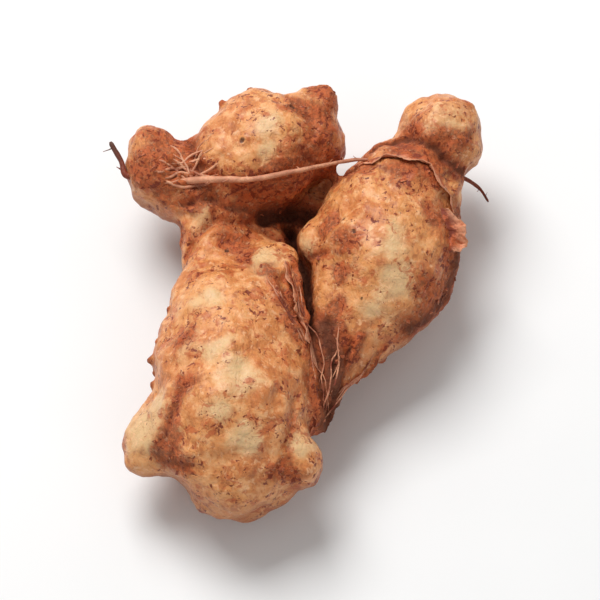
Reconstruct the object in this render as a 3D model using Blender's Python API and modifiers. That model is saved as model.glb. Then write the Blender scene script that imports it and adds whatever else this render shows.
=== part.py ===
"""A forked hand of aromatic ginger root (Kaempferia galanga), lying on a flat surface.

One mother finger carries a necked head with two ears and, at its foot, two toes. A side finger
leaves it low on the right, swells and ends in a round bud. The fingers, their necks and their
buds grew as one piece, the rhizome. Dry scale leaves and thin rootlets sit on its skin.
Metres, +Z up, +Y along the mother finger towards its head. The origin is the middle of the
bounding box, on the surface that the root lies on.
"""

import math

import bmesh
import bpy
from mathutils import Vector
from mathutils.bvhtree import BVHTree

MM = 0.001

# Fingers, each a line of stations (x, y, z, radius) in millimetres, from its base to its tip.
FINGERS = {
    "mother_finger": [
        (-9.8, 2.6, 9.8, 5.4),
        (-9.9, -1.4, 9.9, 8.4),
        (-9.8, -7.1, 10.3, 10.2),
        (-10.1, -14.6, 10.9, 11.4),
        (-9.9, -20.6, 10.7, 11.1),
        (-8.9, -24.3, 9.6, 8.8),
    ],
    "right_shoulder": [(-4.9, 3.2, 12.2, 3.9), (-5.2, -1.0, 12.2, 5.2), (-6.0, -6.0, 11.6, 6.6)],
    "left_shoulder": [(-13.2, 3.4, 10.6, 3.9), (-13.0, -1.6, 10.8, 5.4)],
    "neck": [(-12.6, 5.0, 9.4, 4.8), (-12.6, 11.2, 9.8, 4.9), (-12.0, 17.2, 11.4, 5.4)],
    "neck_root": [(-6.4, 5.2, 7.2, 4.2), (-7.0, 12.4, 6.4, 4.4), (-6.6, 19.0, 9.0, 5.0)],
    "head": [
        (-12.6, 18.6, 11.6, 5.6),
        (-8.4, 20.6, 12.8, 7.8),
        (-3.2, 22.0, 13.2, 8.1),
        (-0.4, 22.6, 13.0, 6.4),
    ],
    "right_ear": [(-1.4, 23.9, 14.2, 5.2), (1.8, 27.6, 15.2, 3.4)],
    "left_ear": [(-16.9, 15.8, 11.4, 4.8), (-20.5, 18.8, 12.0, 5.1), (-21.2, 21.8, 12.6, 4.0)],
    "head_foot": [(-6.0, 21.0, 9.6, 5.6), (-4.6, 22.4, 4.5, 5.2)],
    "left_toe": [(-16.5, -18.4, 10.2, 6.0), (-21.0, -22.2, 9.4, 4.4)],
    "right_toe": [(-5.4, -20.6, 11.4, 6.0), (-1.3, -25.2, 11.2, 3.9)],
    "side_finger": [
        (-3.0, -18.4, 9.4, 4.4),
        (1.6, -14.4, 9.2, 4.2),
        (4.6, -9.4, 9.4, 5.0),
        (6.9, -4.3, 9.8, 6.9),
        (9.7, 1.3, 10.1, 9.6),
        (11.4, 6.8, 10.1, 10.7),
        (12.8, 12.2, 10.4, 10.3),
        (14.2, 15.3, 11.2, 8.5),
    ],
    "web": [(1.5, -8.3, 11.2, 2.7), (2.0, -12.6, 10.4, 3.4), (0.6, -17.2, 9.6, 4.0)],
    "side_knob": [(5.2, 6.6, 11.0, 3.4), (2.2, 8.4, 12.0, 2.8)],
    "crevice_floor": [
        (2.2, -7.0, 7.4, 3.6),
        (1.2, -1.0, 6.4, 3.8),
        (0.8, 5.0, 5.6, 4.2),
        (1.0, 9.6, 5.0, 4.6),
        (0.8, 13.4, 5.0, 4.4),
    ],
    "round_bud": [(16.4, 18.4, 13.0, 4.6), (19.2, 22.6, 13.8, 6.4)],
}

# A finger's skin before it joins the others.
STEPS_PER_SPAN = 6
CAP_STEPS = 6
CAP_ANGLE = math.radians(86)
FINGER_ROUNDNESS = 6

# How the fingers grow into one body, with broad and close lumps (size, height) over it.
GRAIN = 0.7 * MM
BLEND_STRENGTH = 0.5
BLEND_PASSES = 9
LUMPS = {"broad_lumps": (11.0 * MM, 2.4 * MM), "close_lumps": (4.2 * MM, 0.9 * MM)}
RHIZOME_TRIANGLES = 6200
SURFACE_BLOCK = (150 * MM, 150 * MM, 20 * MM)
WELD = 1e-7

# Small pieces keep this gap to the body that they grow on.
SKIN_GAP = 0.34 * MM

# Rootlets, from base to tip: stations (x, y, z) with the most that the rootlet may stand off the
# skin there, and the radius at each end, all in millimetres.
ROOTLETS = {
    "long_rootlet": {
        "route": [
            (-19.0, 15.1, 15.4, 0.0),
            (-14.6, 14.8, 16.0, 0.2),
            (-10.2, 14.5, 17.4, 0.4),
            (-5.8, 14.7, 18.3, 0.6),
            (-0.6, 15.8, 17.9, 0.6),
            (4.0, 17.2, 16.8, 4.0),
            (7.4, 18.0, 16.2, 4.0),
        ],
        "radii": (0.62, 0.34),
    },
    "ear_rootlet": {
        "route": [
            (-23.4, 17.1, 13.2, 0.0),
            (-24.8, 17.6, 13.6, 9.0),
            (-25.6, 19.4, 14.0, 9.0),
            (-27.2, 21.8, 14.8, 9.0),
        ],
        "radii": (0.62, 0.4),
    },
    "bud_rootlet": {
        "route": [
            (21.4, 19.4, 9.6, 0.0),
            (23.4, 18.8, 8.8, 2.0),
            (25.0, 18.0, 7.8, 9.0),
            (26.4, 16.2, 7.2, 9.0),
        ],
        "radii": (0.5, 0.32),
    },
}
ROOTLET_STEPS = 4
ROOTLET_ROUNDNESS = 2

# Dry scale leaves: the line (x, y, z) that each grows from, the way it lies over the skin, its
# width, and how far its free edge stands off, in millimetres.
SCALE_LEAVES = {
    "flank_scale_leaf": {
        "root_line": [(-2.2, 2.4, 16.0), (-0.9, -1.6, 16.0), (-0.4, -5.6, 15.4), (0.4, -9.4, 14.6)],
        "lies": (-0.9, 0.1, 0.6),
        "width": 3.0,
        "lift": 0.9,
    },
    "bud_collar_leaf": {
        "root_line": [
            (8.8, 16.2, 16.4),
            (11.6, 17.8, 18.4),
            (15.0, 18.0, 19.8),
            (18.6, 16.6, 20.2),
            (21.4, 13.6, 18.6),
            (23.0, 10.4, 15.6),
        ],
        "lies": (-0.35, -0.85, 0.2),
        "width": 2.8,
        "lift": 0.8,
    },
    "side_finger_flake": {
        "root_line": [(21.2, 9.0, 17.4), (22.0, 6.2, 16.4), (22.2, 3.2, 15.4)],
        "lies": (0.6, -0.2, -0.7),
        "width": 3.2,
        "lift": 1.6,
    },
}
SCALE_THICKNESS = 0.42 * MM
SCALE_STEP = 1.0
SCALE_LINE_STEPS = 4
SCALE_END_WIDTH = math.radians(22)

SKIN_LOOK = ((0.58, 0.29, 0.13), 0.5)
ROOTLET_LOOK = ((0.5, 0.27, 0.15), 0.7)
SCALE_LOOK = ((0.42, 0.22, 0.12), 0.75)


def between(before, start, end, after, t):
    """One number of a Catmull-Rom curve, a share t of the way from start to end."""
    pull = (end - before) * t
    bend = (2 * before - 5 * start + 4 * end - after) * t**2
    twist = (3 * start - before - 3 * end + after) * t**3
    return 0.5 * (2 * start + pull + bend + twist)


def smooth_line(stations, steps):
    """Points on a smooth curve through the stations, with this many steps to each span."""
    padded = [stations[0], *stations, stations[-1]]
    line = []
    for four in zip(padded, padded[1:], padded[2:], padded[3:]):
        for step in range(steps):
            line.append(tuple(between(*numbers, step / steps) for numbers in zip(*four)))
    line.append(tuple(stations[-1]))
    return line


def dome(centre, inside, radius):
    """Rings (x, y, z, radius) of a half ball at the end of a finger, from its rim to its pole."""
    outward = (centre - inside).normalized()
    rings = []
    for step in range(1, CAP_STEPS + 1):
        angle = CAP_ANGLE * step / CAP_STEPS
        point = centre + outward * radius * math.sin(angle)
        rings.append((*point, radius * math.cos(angle)))
    return rings


def tube(name, rings, roundness):
    """A curve object that follows rings (x, y, z, radius) in millimetres, with filled ends."""
    curve = bpy.data.curves.new(name, "CURVE")
    curve.dimensions = "3D"
    curve.bevel_depth = MM
    curve.bevel_resolution = roundness
    curve.use_fill_caps = True
    spline = curve.splines.new("POLY")
    spline.points.add(len(rings) - 1)
    for point, (x, y, z, radius) in zip(spline.points, rings):
        point.co = (x * MM, y * MM, z * MM, 1)
        point.radius = radius
    made = bpy.data.objects.new(name, curve)
    bpy.context.scene.collection.objects.link(made)
    return made


def frozen(obj):
    """The object as a welded mesh with its modifiers applied. The original is removed."""
    bpy.context.view_layer.update()
    graph = bpy.context.evaluated_depsgraph_get()
    mesh = bpy.data.meshes.new_from_object(obj.evaluated_get(graph))
    mesh.transform(obj.matrix_world)
    shape = bmesh.new()
    shape.from_mesh(mesh)
    bmesh.ops.remove_doubles(shape, verts=shape.verts, dist=WELD)
    shape.to_mesh(mesh)
    shape.free()
    name = obj.name
    bpy.data.objects.remove(obj)
    made = bpy.data.objects.new(name, mesh)
    bpy.context.scene.collection.objects.link(made)
    return made


def finger(stations):
    """One closed finger with round ends."""
    line = smooth_line(stations, STEPS_PER_SPAN)
    first, second = Vector(line[0][:3]), Vector(line[1][:3])
    last, before = Vector(line[-1][:3]), Vector(line[-2][:3])
    start = dome(first, second, line[0][3])[::-1]
    end = dome(last, before, line[-1][3])
    return frozen(tube("finger", [*start, *line, *end], FINGER_ROUNDNESS))


def joined(name, objects):
    """One mesh object that holds the meshes of all of these."""
    shape = bmesh.new()
    for obj in objects:
        shape.from_mesh(obj.data)
        bpy.data.objects.remove(obj)
    mesh = bpy.data.meshes.new(name)
    shape.to_mesh(mesh)
    shape.free()
    made = bpy.data.objects.new(name, mesh)
    bpy.context.scene.collection.objects.link(made)
    return made


def surface_under():
    """A block below the surface that the root rests on, which flattens the skin where it touches."""
    mesh = bpy.data.meshes.new("surface_block")
    shape = bmesh.new()
    bmesh.ops.create_cube(shape, size=1)
    bmesh.ops.scale(shape, vec=SURFACE_BLOCK, verts=shape.verts)
    bmesh.ops.translate(shape, vec=(0, 0, -SURFACE_BLOCK[2] / 2), verts=shape.verts)
    shape.to_mesh(mesh)
    shape.free()
    block = bpy.data.objects.new("surface_block", mesh)
    block.hide_render = True
    block.display_type = "WIRE"
    cutters.objects.link(block)
    return block


def rhizome():
    """The whole fleshy body: every finger grown into one solid, lumpy, and flat where it rests."""
    body = joined("rhizome", [finger(stations) for stations in FINGERS.values()])
    grow = body.modifiers.new("grow_together", "REMESH")
    grow.mode = "VOXEL"
    grow.voxel_size = GRAIN
    blend = body.modifiers.new("blend_joins", "SMOOTH")
    blend.factor = BLEND_STRENGTH
    blend.iterations = BLEND_PASSES
    for name, (size, height) in LUMPS.items():
        lumps = bpy.data.textures.new(name, "CLOUDS")
        lumps.noise_scale = size
        lumps.noise_depth = 1
        swell = body.modifiers.new(name, "DISPLACE")
        swell.texture = lumps
        swell.texture_coords = "LOCAL"
        swell.strength = height
        swell.mid_level = 0.5
    body = frozen(body)
    fewer = body.modifiers.new("fewer_faces", "DECIMATE")
    triangles = sum(len(face.vertices) - 2 for face in body.data.polygons)
    fewer.ratio = RHIZOME_TRIANGLES / triangles
    rest = body.modifiers.new("rest_flat", "BOOLEAN")
    rest.operation = "DIFFERENCE"
    rest.object = surface_under()
    return frozen(body)


def skin_tree(body):
    """A search tree of the body's surface."""
    shape = bmesh.new()
    shape.from_mesh(body.data)
    tree = BVHTree.FromBMesh(shape)
    shape.free()
    return tree


def off_skin(tree, point, least, most):
    """The point, moved along the skin's normal if it has to be, to lie this far over the skin."""
    near, normal, _, distance = tree.find_nearest(point)
    height = distance if (point - near).dot(normal) > 0 else 0.0
    if least <= height <= most:
        return point
    return near + normal * (least if height < least else most)


def rootlet(name, tree, route, radii):
    """A thin tapering root, clear of the skin and near it where its route says so."""
    line = smooth_line(route, ROOTLET_STEPS)
    rings = []
    for index, (x, y, z, slack) in enumerate(line):
        share = index / (len(line) - 1)
        radius = radii[0] + (radii[1] - radii[0]) * share
        least = radius * MM + SKIN_GAP
        point = off_skin(tree, Vector((x, y, z)) * MM, least, least + max(slack, 0.0) * MM)
        rings.append((*(point / MM), radius))
    return frozen(tube(name, rings, ROOTLET_ROUNDNESS))


def scale_leaf(name, tree, root_line, lies, width, lift):
    """A papery leaf laid on the skin: a grid from its root line to its free edge, then thickened."""
    line = [Vector(point) for point in smooth_line(root_line, SCALE_LINE_STEPS)]
    length = sum((end - start).length for start, end in zip(line, line[1:]))
    mesh = bpy.data.meshes.new(name)
    shape = bmesh.new()
    columns, rows = max(3, round(length / SCALE_STEP)), max(2, round(width / SCALE_STEP))
    bmesh.ops.create_grid(shape, x_segments=columns, y_segments=rows, size=0.5)
    outward = Vector(lies).normalized() * width
    for vertex in shape.verts:
        along, out = vertex.co.x + 0.5, vertex.co.y + 0.5
        place = along * (len(line) - 1)
        index = min(int(place), len(line) - 2)
        root = line[index].lerp(line[index + 1], place - index)
        fullness = math.sin(SCALE_END_WIDTH + (math.pi - 2 * SCALE_END_WIDTH) * along)
        point = (root + outward * fullness * out) * MM
        near, normal, _, _ = tree.find_nearest(point)
        vertex.co = near + normal * (SKIN_GAP + lift * MM * out**2)
    shape.to_mesh(mesh)
    shape.free()
    leaf = bpy.data.objects.new(name, mesh)
    bpy.context.scene.collection.objects.link(leaf)
    middle_face = mesh.polygons[len(mesh.polygons) // 2]
    _, skin_normal, _, _ = tree.find_nearest(middle_face.center)
    thick = leaf.modifiers.new("thickness", "SOLIDIFY")
    thick.thickness = SCALE_THICKNESS
    thick.offset = 1 if middle_face.normal.dot(skin_normal) > 0 else -1
    return frozen(leaf)


def finish(obj, look):
    """A material of the object's own, from a look (colour, roughness)."""
    colour, roughness = look
    material = bpy.data.materials.new(obj.name)
    material.use_nodes = True
    shader = material.node_tree.nodes["Principled BSDF"]
    shader.inputs["Base Color"].default_value = (*colour, 1)
    shader.inputs["Roughness"].default_value = roughness
    shader.inputs["Metallic"].default_value = 0
    obj.data.materials.clear()
    obj.data.materials.append(material)


def centre_on_base(nodes):
    """Moves every node so that the middle of their common box, at its lowest point, is the origin."""
    corners = [vertex.co for node in nodes for vertex in node.data.vertices]
    low = Vector(min(corner[axis] for corner in corners) for axis in range(3))
    high = Vector(max(corner[axis] for corner in corners) for axis in range(3))
    middle = Vector(((low.x + high.x) / 2, (low.y + high.y) / 2, low.z))
    for node in nodes:
        for vertex in node.data.vertices:
            vertex.co -= middle
        node.data.update()


for old in list(bpy.data.objects):
    bpy.data.objects.remove(old)
ginger = bpy.data.collections.new("aromatic_ginger_root")
cutters = bpy.data.collections.new("cutters")
bpy.context.scene.collection.children.link(ginger)
bpy.context.scene.collection.children.link(cutters)
cutters.hide_render = True

body = rhizome()
finish(body, SKIN_LOOK)
nodes = [body]
tree = skin_tree(body)
for name, spec in ROOTLETS.items():
    thin_root = rootlet(name, tree, **spec)
    finish(thin_root, ROOTLET_LOOK)
    nodes.append(thin_root)
for name, spec in SCALE_LEAVES.items():
    leaf = scale_leaf(name, tree, **spec)
    finish(leaf, SCALE_LOOK)
    nodes.append(leaf)
centre_on_base(nodes)
for node in nodes:
    bpy.context.scene.collection.objects.unlink(node)
    ginger.objects.link(node)
    node.data.shade_smooth()
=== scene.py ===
"""Looks of a forked hand of aromatic ginger root: its skin, rootlets, dry scale leaves and studio."""

import math
import random

import bpy
from bpy.props import FloatProperty, FloatVectorProperty, IntProperty, PointerProperty
from mathutils import Matrix, Vector, noise
from mathutils.bvhtree import BVHTree
from mathutils.kdtree import KDTree


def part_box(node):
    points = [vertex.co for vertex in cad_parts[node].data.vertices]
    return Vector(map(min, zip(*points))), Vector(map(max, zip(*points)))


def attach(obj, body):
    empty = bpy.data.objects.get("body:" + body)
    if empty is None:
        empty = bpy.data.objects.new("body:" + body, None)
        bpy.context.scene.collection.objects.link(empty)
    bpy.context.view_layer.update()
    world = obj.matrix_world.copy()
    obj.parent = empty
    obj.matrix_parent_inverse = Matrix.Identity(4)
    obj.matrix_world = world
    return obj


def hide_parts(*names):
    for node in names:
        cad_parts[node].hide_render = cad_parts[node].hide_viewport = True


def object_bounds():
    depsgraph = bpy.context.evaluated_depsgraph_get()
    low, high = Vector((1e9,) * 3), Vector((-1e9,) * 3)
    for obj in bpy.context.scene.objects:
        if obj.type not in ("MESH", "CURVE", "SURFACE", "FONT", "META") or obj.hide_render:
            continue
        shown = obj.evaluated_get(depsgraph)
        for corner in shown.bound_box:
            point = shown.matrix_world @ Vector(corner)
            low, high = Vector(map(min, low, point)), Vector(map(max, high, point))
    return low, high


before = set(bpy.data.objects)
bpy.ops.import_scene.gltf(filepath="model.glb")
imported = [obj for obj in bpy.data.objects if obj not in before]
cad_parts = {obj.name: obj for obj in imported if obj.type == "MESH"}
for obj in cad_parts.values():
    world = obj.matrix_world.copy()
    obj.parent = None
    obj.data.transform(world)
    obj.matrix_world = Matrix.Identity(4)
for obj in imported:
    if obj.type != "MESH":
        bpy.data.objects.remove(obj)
CAD_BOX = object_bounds()

bl_info = {
    "name": "Aromatic ginger root",
    "version": (1, 0, 0),
    "blender": (4, 5, 0),
    "location": "View3D > Sidebar > Ginger",
    "description": "Builds the skin, rootlets, scale leaves and studio of a forked ginger root",
    "category": "Add Mesh",
}

MM = 0.001
UP = Vector((0, 0, 1))
ROOT_LOW, ROOT_HIGH = (Vector(corner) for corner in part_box("rhizome"))
ROOT_SIZE = ROOT_HIGH - ROOT_LOW

# Places on the skin, seen from above: share across the rhizome, share along it, radius in mm.
BARE_PATCHES = [
    (0.39, 0.56, 3.6),
    (0.33, 0.24, 3.2),
    (0.35, 0.11, 2.8),
    (0.10, 0.21, 3.2),
    (0.07, 0.17, 4.2),
    (0.28, 0.17, 2.0),
    (0.40, 0.85, 2.4),
    (0.41, 0.79, 2.0),
    (0.74, 0.57, 3.3),
    (0.75, 0.49, 3.0),
    (0.70, 0.44, 2.2),
    (0.89, 0.86, 3.6),
    (0.51, 0.61, 1.8),
    (0.50, 0.13, 1.9),
    (0.27, 0.32, 2.4),
    (0.09, 0.14, 2.6),
    (0.225, 0.68, 1.8),
    (0.18, 0.33, 2.2),
    (0.24, 0.44, 2.2),
]
RUSTY_PATCHES = [
    (0.12, 0.85, 3.8),
    (0.16, 0.78, 3.2),
    (0.22, 0.74, 2.8),
    (0.55, 0.90, 2.9),
    (0.57, 0.96, 2.4),
    (0.47, 0.91, 1.8),
    (0.52, 0.79, 3.0),
    (0.38, 0.73, 2.6),
    (0.80, 0.77, 3.8),
    (0.66, 0.78, 2.4),
    (0.92, 0.60, 3.2),
    (0.90, 0.53, 2.8),
    (0.58, 0.37, 3.4),
    (0.47, 0.47, 2.4),
    (0.48, 0.41, 2.4),
    (0.145, 0.11, 1.9),
    (0.79, 0.81, 2.8),
    (0.86, 0.77, 2.8),
    (0.95, 0.84, 1.8),
    (0.53, 0.30, 3.0),
    (0.31, 0.62, 2.3),
    (0.34, 0.58, 1.6),
    (0.19, 0.24, 1.8),
    (0.54, 0.21, 2.4),
    (0.61, 0.59, 1.8),
    (0.59, 0.46, 1.4),
    (0.45, 0.07, 1.8),
    (0.16, 0.66, 1.7),
    (0.80, 0.84, 2.8),
    (0.88, 0.83, 2.6),
    (0.95, 0.83, 2.2),
    (0.50, 0.79, 2.8),
    (0.56, 0.84, 2.6),
    (0.44, 0.76, 2.6),
    (0.09, 0.80, 3.0),
    (0.60, 0.52, 1.4),
    (0.57, 0.64, 1.8),
    (0.88, 0.66, 2.4),
    (0.84, 0.50, 2.4),
    (0.17, 0.35, 2.0),
]
ROOT_SCARS = [
    (0.33, 0.82, 0.6),
    (0.47, 0.91, 0.7),
    (0.61, 0.64, 0.5),
    (0.64, 0.60, 0.45),
    (0.66, 0.46, 0.4),
    (0.83, 0.92, 0.5),
    (0.29, 0.60, 0.5),
]

# Leaf scars, the rings round a finger: share across, along and up of the ring's middle in the
# rhizome's box, the way that the finger grows there, the finger's radius in mm, and its boldness.
LEAF_SCARS = [
    ((0.30, 0.55, 0.48), (0.02, 1.0, 0.0), 12.0, 0.7),
    ((0.28, 0.25, 0.48), (0.03, -1.0, 0.0), 13.0, 0.3),
    ((0.16, 0.19, 0.46), (-0.75, -0.65, 0.0), 8.0, 0.6),
    ((0.44, 0.14, 0.5), (0.6, -0.8, 0.1), 7.5, 0.5),
    ((0.25, 0.70, 0.44), (0.05, 1.0, 0.2), 7.0, 0.8),
    ((0.29, 0.80, 0.55), (0.85, 0.45, 0.2), 8.5, 0.6),
    ((0.46, 0.87, 0.6), (0.7, 0.7, 0.2), 8.0, 0.8),
    ((0.16, 0.76, 0.52), (-0.8, 0.6, 0.1), 6.5, 0.8),
    ((0.64, 0.44, 0.44), (0.45, 0.9, 0.1), 10.0, 0.4),
    ((0.73, 0.63, 0.46), (0.3, 0.95, 0.05), 13.0, 0.3),
    ((0.78, 0.76, 0.5), (0.3, 0.95, 0.1), 12.0, 0.9),
    ((0.84, 0.82, 0.56), (0.5, 0.85, 0.1), 8.5, 1.0),
    ((0.88, 0.87, 0.6), (0.6, 0.8, 0.2), 8.0, 0.6),
]

# Folds of the skin: the places (share across, share along) that each passes through, its height in
# mm, below 0 where it is a groove, its half width in mm, the shade painted along it and how rusty it is.
FOLDS = [
    # The slit between the two fingers, and the pocket that it opens into beside the neck, both with
    # painted shadow.
    (
        ((0.46, 0.70), (0.48, 0.65), (0.49, 0.61), (0.505, 0.56), (0.515, 0.49), (0.52, 0.44)),
        -3.6, 0.85, 1.0, 1.0,
    ),
    (((0.52, 0.44), (0.53, 0.37), (0.545, 0.31), (0.555, 0.26), (0.56, 0.21)), -1.2, 0.6, 0.8, 1.0),
    (((0.39, 0.71), (0.43, 0.725), (0.48, 0.73), (0.53, 0.72)), -2.6, 1.7, 1.0, 1.0),
    # The fibrous ridges on the slit's left flank, and the web below the side finger.
    (((0.40, 0.54), (0.43, 0.47), (0.455, 0.43), (0.48, 0.40), (0.51, 0.375)), 0.8, 0.8, 0.0, 0.8),
    (((0.465, 0.57), (0.485, 0.52), (0.495, 0.47), (0.505, 0.42)), 0.6, 0.5, 0.0, 1.0),
    (((0.41, 0.50), (0.435, 0.44), (0.47, 0.39), (0.51, 0.34)), 0.4, 0.4, 0.0, 0.6),
    (((0.72, 0.38), (0.66, 0.33), (0.60, 0.28), (0.57, 0.23)), 0.6, 0.5, 0.0, 1.0),
    (((0.66, 0.385), (0.62, 0.34), (0.58, 0.28)), 0.6, 0.45, 0.0, 1.0),
    (((0.59, 0.40), (0.60, 0.35), (0.58, 0.27)), 0.7, 0.5, 0.0, 1.0),
    (((0.54, 0.42), (0.555, 0.36), (0.57, 0.31), (0.565, 0.25)), 0.7, 0.5, 0.0, 1.0),
    (((0.57, 0.42), (0.58, 0.36), (0.575, 0.30)), -0.6, 0.35, 0.8, 1.0),
    (((0.63, 0.37), (0.60, 0.31), (0.57, 0.26)), -0.6, 0.35, 0.8, 1.0),
    # Low places with painted shade: the web, the side finger's right edge and the left ear's underside.
    (((0.56, 0.41), (0.58, 0.34), (0.58, 0.28), (0.565, 0.22)), -0.05, 2.1, 0.9, 1.0),
    (((0.94, 0.67), (0.93, 0.60), (0.91, 0.54), (0.87, 0.48), (0.80, 0.41)), -0.05, 1.9, 0.8, 1.0),
    (((0.03, 0.79), (0.07, 0.75), (0.12, 0.72)), -0.05, 1.6, 0.3, 0.8),
    # The head's underside over the pocket, with painted shade.
    (((0.36, 0.735), (0.46, 0.755), (0.53, 0.78), (0.59, 0.81)), -0.05, 2.0, 0.4, 1.0),
    # The crease where the neck comes out behind the shoulder, the shoulder's own rim, and the ridges
    # that run up the neck.
    (
        ((0.18, 0.59), (0.205, 0.64), (0.26, 0.672), (0.33, 0.68), (0.40, 0.668), (0.45, 0.64)),
        -0.9, 0.7, 0.4, 0.6,
    ),
    (((0.22, 0.60), (0.26, 0.635), (0.33, 0.645), (0.40, 0.63)), 0.6, 1.3, 0.0, 0.0),
    (((0.22, 0.67), (0.22, 0.69), (0.21, 0.715)), 0.4, 0.5, 0.0, 0.3),
    (((0.255, 0.675), (0.255, 0.695), (0.26, 0.715)), -0.5, 0.4, 0.5, 0.9),
    (((0.29, 0.68), (0.285, 0.695), (0.29, 0.71)), 0.4, 0.5, 0.0, 0.3),
    (((0.325, 0.68), (0.33, 0.695), (0.335, 0.71)), -0.5, 0.4, 0.5, 0.9),
    # The edge of a leaf scar under the smooth shoulder.
    (((0.35, 0.56), (0.375, 0.52), (0.43, 0.505), (0.47, 0.54), (0.485, 0.60)), -0.4, 0.35, 0.45, 0.6),
    (((0.36, 0.575), (0.385, 0.535), (0.43, 0.525), (0.46, 0.55)), 0.25, 0.5, 0.0, 0.0),
    # Where one finger leaves another.
    (((0.16, 0.71), (0.23, 0.715), (0.30, 0.705), (0.36, 0.705)), -0.7, 0.6, 0.6, 0.9),
    (((0.18, 0.23), (0.15, 0.18), (0.125, 0.14), (0.105, 0.115)), -0.6, 0.8, 0.55, 1.0),
    (((0.115, 0.105), (0.145, 0.09), (0.19, 0.075)), -0.4, 1.0, 0.6, 1.0),
    (((0.485, 0.24), (0.46, 0.17), (0.455, 0.12), (0.47, 0.06)), -0.5, 0.7, 0.25, 0.5),
    (((0.69, 0.83), (0.77, 0.85), (0.84, 0.83), (0.89, 0.80), (0.94, 0.78)), -0.9, 0.8, 0.8, 1.0),
    (((0.18, 0.86), (0.20, 0.82), (0.215, 0.78), (0.20, 0.74)), -0.8, 0.6, 0.7, 1.0),
    (((0.46, 0.95), (0.49, 0.91), (0.52, 0.88), (0.53, 0.85)), -0.5, 0.6, 0.5, 0.8),
    (((0.51, 0.60), (0.53, 0.585), (0.56, 0.575)), -0.5, 0.5, 0.6, 0.8),
    # Ragged folds where the left ear joins the head.
    (((0.12, 0.80), (0.17, 0.79), (0.22, 0.80)), 0.4, 0.35, 0.0, 1.0),
    (((0.11, 0.77), (0.17, 0.765), (0.24, 0.77)), 0.45, 0.35, 0.0, 1.0),
    (((0.14, 0.745), (0.20, 0.75), (0.27, 0.755)), 0.4, 0.35, 0.0, 1.0),
    (((0.16, 0.83), (0.19, 0.78), (0.20, 0.73)), 0.35, 0.3, 0.0, 1.0),
    (((0.13, 0.785), (0.18, 0.78), (0.22, 0.785)), -0.4, 0.3, 0.7, 1.0),
    (((0.14, 0.76), (0.19, 0.757), (0.24, 0.762)), -0.4, 0.3, 0.7, 1.0),
]

# The web that closes the pocket between the head and the side finger: its middle and half sides, mm.
POCKET_WEB = ((3.4, 19.3, 5.6), (4.2, 3.4, 2.6))

# Stubs of broken roots: shares of the rhizome's box near which each stands, radius and height in mm.
ROOT_STUBS = [
    ((0.10, 0.35, 0.55), 0.6, 0.6),
    ((0.09, 0.325, 0.5), 0.45, 0.4),
    ((0.09, 0.29, 0.56), 0.55, 0.5),
    ((0.11, 0.38, 0.6), 0.4, 0.3),
    ((0.13, 0.46, 0.6), 0.5, 0.35),
    ((0.25, 0.96, 0.75), 0.6, 0.7),
    ((0.35, 1.0, 0.75), 0.5, 0.5),
    ((0.98, 0.9, 0.5), 0.6, 0.5),
    ((0.3, 0.3, 0.0), 1.0, 0.4),
    ((0.75, 0.35, 0.3), 0.8, 0.6),
    ((0.6, 0.9, 0.2), 0.7, 0.5),
    ((0.1, 0.6, 0.2), 0.8, 0.6),
]

# Fibres that lie on the skin: routes through places (share across, share along), how many threads
# follow each route, how far they stray and their radius in mm, and how dark they are.
FIBRE_BUNDLES = {
    "ear_fibres": {
        "routes": [
            ((0.12, 0.79), (0.16, 0.80), (0.21, 0.815), (0.27, 0.83)),
            ((0.10, 0.765), (0.15, 0.77), (0.21, 0.78), (0.28, 0.79)),
            ((0.11, 0.745), (0.16, 0.75), (0.22, 0.757), (0.29, 0.762)),
            ((0.12, 0.83), (0.16, 0.80), (0.19, 0.765), (0.21, 0.73)),
            ((0.23, 0.84), (0.21, 0.81), (0.18, 0.775), (0.16, 0.74)),
            ((0.11, 0.81), (0.15, 0.785), (0.20, 0.765), (0.26, 0.75)),
        ],
        "threads": 2,
        "stray": 0.8,
        "radius": 0.19,
        "tone": 0.5,
    },
    "crevice_fibres": {
        "routes": [
            ((0.41, 0.53), (0.43, 0.48), (0.46, 0.43), (0.50, 0.38), (0.53, 0.34)),
            ((0.465, 0.56), (0.485, 0.50), (0.50, 0.43), (0.53, 0.35), (0.55, 0.26)),
            ((0.50, 0.42), (0.52, 0.36), (0.54, 0.30), (0.555, 0.22)),
            ((0.60, 0.40), (0.60, 0.35), (0.58, 0.28), (0.56, 0.22)),
            ((0.70, 0.37), (0.65, 0.33), (0.60, 0.28), (0.565, 0.23)),
        ],
        "threads": 3,
        "stray": 0.7,
        "radius": 0.12,
        "tone": 1.0,
    },
}
FIBRE_POINTS = 14

# The three rootlets, from base to tip, in mm, with the radius at each end.
ROOTLETS = {
    "long_rootlet": {
        "route": [
            (-18.6, 16.1, 15.4),
            (-14.2, 15.8, 16.9),
            (-9.8, 15.4, 17.9),
            (-5.4, 15.4, 18.4),
            (-0.2, 16.6, 18.2),
            (4.4, 18.2, 17.2),
            (7.7, 19.1, 16.6),
            (9.5, 18.9, 17.0),
        ],
        "radii": (0.52, 0.2),
        "tones": (0.0, 0.45),
    },
    "ear_rootlet": {
        "route": [(-22.9, 18.2, 13.2), (-24.6, 18.5, 13.5), (-25.2, 20.4, 14.0), (-26.6, 22.6, 14.7)],
        "radii": (0.55, 0.32),
        "tones": (0.5, 1.1),
    },
    "bud_rootlet": {
        "route": [(21.7, 20.5, 9.4), (23.9, 19.8, 8.8), (25.4, 19.0, 7.9), (26.6, 17.4, 7.3)],
        "radii": (0.36, 0.16),
        "tones": (0.4, 0.9),
    },
}

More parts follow.
